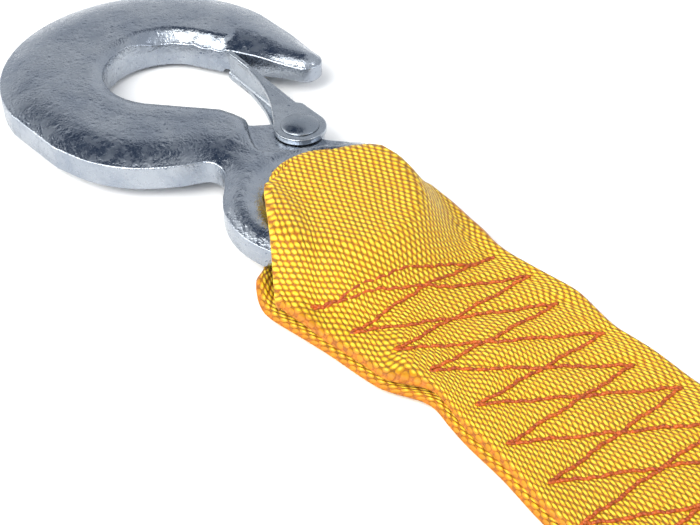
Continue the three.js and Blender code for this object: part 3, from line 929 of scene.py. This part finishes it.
def thread_mesh(end):
    sides = THREAD_SIDES
    verts, faces, uvs = [], [], []
    for number, leg in enumerate(stitch_legs()):
        L, s = thread_line(leg, number)
        tangent = np.gradient(L, axis=0)
        tangent /= np.linalg.norm(tangent, axis=1)[:, None]
        sideway = np.cross(tangent, [0, 0, 1])
        sideway /= np.linalg.norm(sideway, axis=1)[:, None]
        up = np.cross(sideway, tangent)
        base = len(verts)
        for k in range(len(L)):
            for i in range(sides):
                t = 2 * math.pi * i / sides
                verts.append(L[k] + sideway[k] * THREAD_HALF_WIDTH * math.cos(t)
                             + up[k] * THREAD_HALF_HEIGHT * math.sin(t))
                uvs.append((s[k] / 1000, i / sides))
        for k in range(len(L) - 1):
            for i in range(sides):
                a, b = base + k * sides + i, base + k * sides + (i + 1) % sides
                faces.append((a, b, b + sides, a + sides))
        faces.append(tuple(range(base, base + sides))[::-1])
        last = base + (len(L) - 1) * sides
        faces.append(tuple(range(last, last + sides)))
    V = np.array(verts)
    V[:, 0] -= EYE_TO_ROLL
    if end == "b":
        V[:, :2] *= -1
    return V / 1000, faces, uvs


# Stage and light
def make_stage():
    m = Nodes("floor_white")
    grain = m.span(m.noise(m.coords(), scale=3.0), 0.3, 0.7)
    m.put(m.bsdf.inputs["Base Color"], m.mix(grain, (0.93, 0.93, 0.93, 1), (0.95, 0.95, 0.95, 1)))
    m.bsdf.inputs["Roughness"].default_value = 0.9
    s, z = 6.0, -0.0002
    verts = [(-s, -s, z), (s, -s, z), (s, s, z), (-s, s, z)]
    floor = make_object("floor", verts, [(0, 1, 2, 3)], m.mat, shade=False)


# The studio around the strap: its even light, and patches of direction, inner and outer angle, colour
STUDIO = (0.78, 0.81, 0.85, 1)
DARK = (0.02, 0.05, 0.11, 1)
BRIGHT = (4.2, 4.15, 4.0, 1)
PATCHES = [((-0.54, 0.05, 0.84), 17, 28, DARK),
           ((-0.587, -0.66, 0.47), 15, 24, BRIGHT),
           ((0.02, -0.64, 0.77), 18, 28, BRIGHT)]


def make_light():
    scene = bpy.context.scene
    world = bpy.data.worlds.new("studio")
    scene.world = world
    world.use_nodes = True
    tree = world.node_tree
    tree.nodes.clear()
    out = tree.nodes.new("ShaderNodeOutputWorld")
    back = tree.nodes.new("ShaderNodeBackground")
    tree.links.new(back.outputs[0], out.inputs[0])
    coord = tree.nodes.new("ShaderNodeTexCoord")

    def toward(direction, inner, outer):
        dot = tree.nodes.new("ShaderNodeVectorMath")
        dot.operation = "DOT_PRODUCT"
        tree.links.new(coord.outputs["Generated"], dot.inputs[0])
        dot.inputs[1].default_value = Vector(direction).normalized()
        n = tree.nodes.new("ShaderNodeMapRange")
        n.interpolation_type = "SMOOTHSTEP"
        tree.links.new(dot.outputs["Value"], n.inputs["Value"])
        n.inputs["From Min"].default_value = math.cos(math.radians(outer))
        n.inputs["From Max"].default_value = math.cos(math.radians(inner))
        return n.outputs["Result"]

    def mix(fac, a, b):
        n = tree.nodes.new("ShaderNodeMix")
        n.data_type = "RGBA"
        tree.links.new(fac, n.inputs[0])
        for socket, value in ((n.inputs[6], a), (n.inputs[7], b)):
            if isinstance(value, bpy.types.NodeSocket):
                tree.links.new(value, socket)
            else:
                socket.default_value = value
        return n.outputs[2]

    colour = STUDIO
    for direction, inner, outer, patch in PATCHES:
        colour = mix(toward(direction, inner, outer), colour, patch)
    tree.links.new(colour, back.inputs["Color"])
    back.inputs["Strength"].default_value = 1.0

    def area(name, location, target, size, power):
        data = bpy.data.lights.new(name, "AREA")
        data.shape = "DISK"
        data.size = size
        data.energy = power
        obj = bpy.data.objects.new(name, data)
        obj.location = location
        obj.rotation_mode = "QUATERNION"
        obj.rotation_quaternion = (Vector(target) - Vector(location)).to_track_quat("-Z", "Y")
        scene.collection.objects.link(obj)

    area("key", (0.3, -1.5, 1.5), (-0.2, 0, 0), 1.2, 20.0)
    area("fill", (1.6, 0.9, 1.5), (-0.2, 0, 0), 1.2, 14.0)
    scene.view_settings.view_transform = "Standard"
    scene.view_settings.look = "None"
    scene.view_settings.exposure = 0.0


# The strap
set_camera()
make_stage()
make_light()

forging = zinc_material("zinc_forged", srgb(172, 178, 186), srgb(148, 156, 168), 0.24, 1.7, 1.6)
plate = zinc_material("zinc_plate", srgb(172, 178, 185), srgb(156, 163, 172), 0.23, 0.6, 0.35)
stud = zinc_material("zinc_stud", srgb(160, 166, 174), srgb(140, 148, 158), 0.28, 0.5, 0.4)
weave = webbing_material()
thread = thread_material()

hook_v, hook_f = hook_mesh()
latch_v, latch_f = latch_mesh()
rivet_v, rivet_f = rivet_mesh()
for end in "ab":
    for name, verts, faces, material, body, slot in (
            ("hook", hook_v, hook_f, forging, f"hook_{end}", "zinc_forging"),
            ("latch", latch_v, latch_f, plate, f"latch_{end}", "zinc_sheet"),
            ("latch_rivet", rivet_v, rivet_f, stud, f"hook_{end}", "zinc_rivet")):
        obj = make_object(f"{name}_{end}_visual", hook_place(verts, end), faces, material)
        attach(obj, body)
        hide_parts(f"{name}_{end}")

web_v, web_f, web_uv, web_length = webbing_mesh()
webbing = make_object("webbing_visual", web_v, web_f, weave, web_uv)
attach(webbing, "strap")
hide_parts("webbing_strap")
for end in "ab":
    v, f, uv = thread_mesh(end)
    obj = make_object(f"stitching_{end}_visual", v, f, thread, uv)
    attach(obj, "strap")
    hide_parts(f"stitching_{end}")
